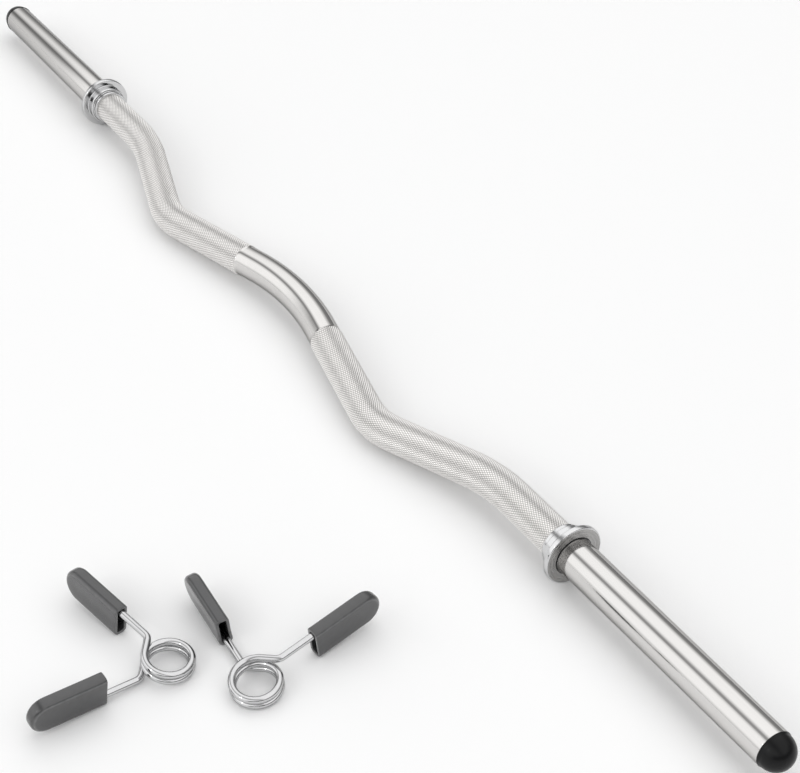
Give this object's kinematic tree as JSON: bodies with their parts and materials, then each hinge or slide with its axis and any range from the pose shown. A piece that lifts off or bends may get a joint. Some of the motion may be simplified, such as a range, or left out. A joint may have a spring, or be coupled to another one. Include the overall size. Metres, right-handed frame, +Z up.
{
  "type": "ez curl bar",
  "caption": "Cambered curl bar with a bent knurled shaft, turning plate sleeves with stop collars and domed rubber end caps, and a pair of wire spring clips with flat grips.",
  "frame": {"origin": "on the floor, below the middle of the box that the bar and its two clips fill", "axes": "+X along the sleeves, +Y from the clips towards the bar, +Z up"},
  "size_m": [1.2, 0.397, 0.046],
  "materials": {
    "bar_chrome": "bright chrome",
    "satin_sleeve": "satin, brushed along its length",
    "black_nylon": "moulded nylon",
    "bronze": "oil-filled sintered",
    "plain_steel": "stamped, oiled",
    "black_rubber": "moulded, satin",
    "clip_wire": "drawn spring wire, plated",
    "grey_vinyl": "dipped vinyl, fine grain"
  },
  "bodies": {
    "bar": {"shaft": "bar_chrome", "left_inner_collar": "bar_chrome", "left_thrust_washer": "black_nylon", "left_retaining_washer": "plain_steel", "left_retaining_ring": "plain_steel", "right_inner_collar": "bar_chrome", "right_thrust_washer": "black_nylon", "right_retaining_washer": "plain_steel", "right_retaining_ring": "plain_steel"},
    "left_sleeve": {"left_sleeve": "satin_sleeve", "left_inner_bush": "bronze", "left_outer_bush": "bronze", "left_end_cap": "black_rubber"},
    "left_clip": {"left_clip_spring": "clip_wire", "left_clip_lower_grip": "grey_vinyl"},
    "left_clip_lever": {"left_clip_upper_grip": "grey_vinyl"},
    "right_sleeve": {"right_sleeve": "satin_sleeve", "right_inner_bush": "bronze", "right_outer_bush": "bronze", "right_end_cap": "black_rubber"},
    "right_clip": {"right_clip_spring": "clip_wire", "right_clip_lower_grip": "grey_vinyl"},
    "right_clip_lever": {"right_clip_upper_grip": "grey_vinyl"}
  },
  "joints": [
    {"name": "left_sleeve_spin", "type": "hinge", "parent": "bar", "child": "left_sleeve", "pos_m": [0, 0.17549, 0.023], "axis": [1, 0, 0], "continuous": true},
    {"name": "left_clip_lift", "type": "slide", "parent": "bar", "child": "left_clip", "axis": [0, 0, 1], "range_m": [0, 0.1]},
    {"name": "left_clip_squeeze", "type": "hinge", "parent": "left_clip", "child": "left_clip_lever", "pos_m": [0.3035, -0.09751, 0.00764], "axis": [0.1112, 0.0877, 0.9899], "range_deg": [0, 50], "stiffness_Nm_per_rad": 2, "deforming": ["left_clip_spring"]},
    {"name": "right_sleeve_spin", "type": "hinge", "parent": "bar", "child": "right_sleeve", "pos_m": [0, 0.17549, 0.023], "axis": [1, 0, 0], "continuous": true},
    {"name": "right_clip_lift", "type": "slide", "parent": "bar", "child": "right_clip", "axis": [0, 0, 1], "range_m": [0, 0.1]},
    {"name": "right_clip_squeeze", "type": "hinge", "parent": "right_clip", "child": "right_clip_lever", "pos_m": [0.352, -0.05801, 0.00764], "axis": [0.0745, -0.1204, 0.9899], "range_deg": [0, 50], "stiffness_Nm_per_rad": 2, "deforming": ["right_clip_spring"]}
  ]
}
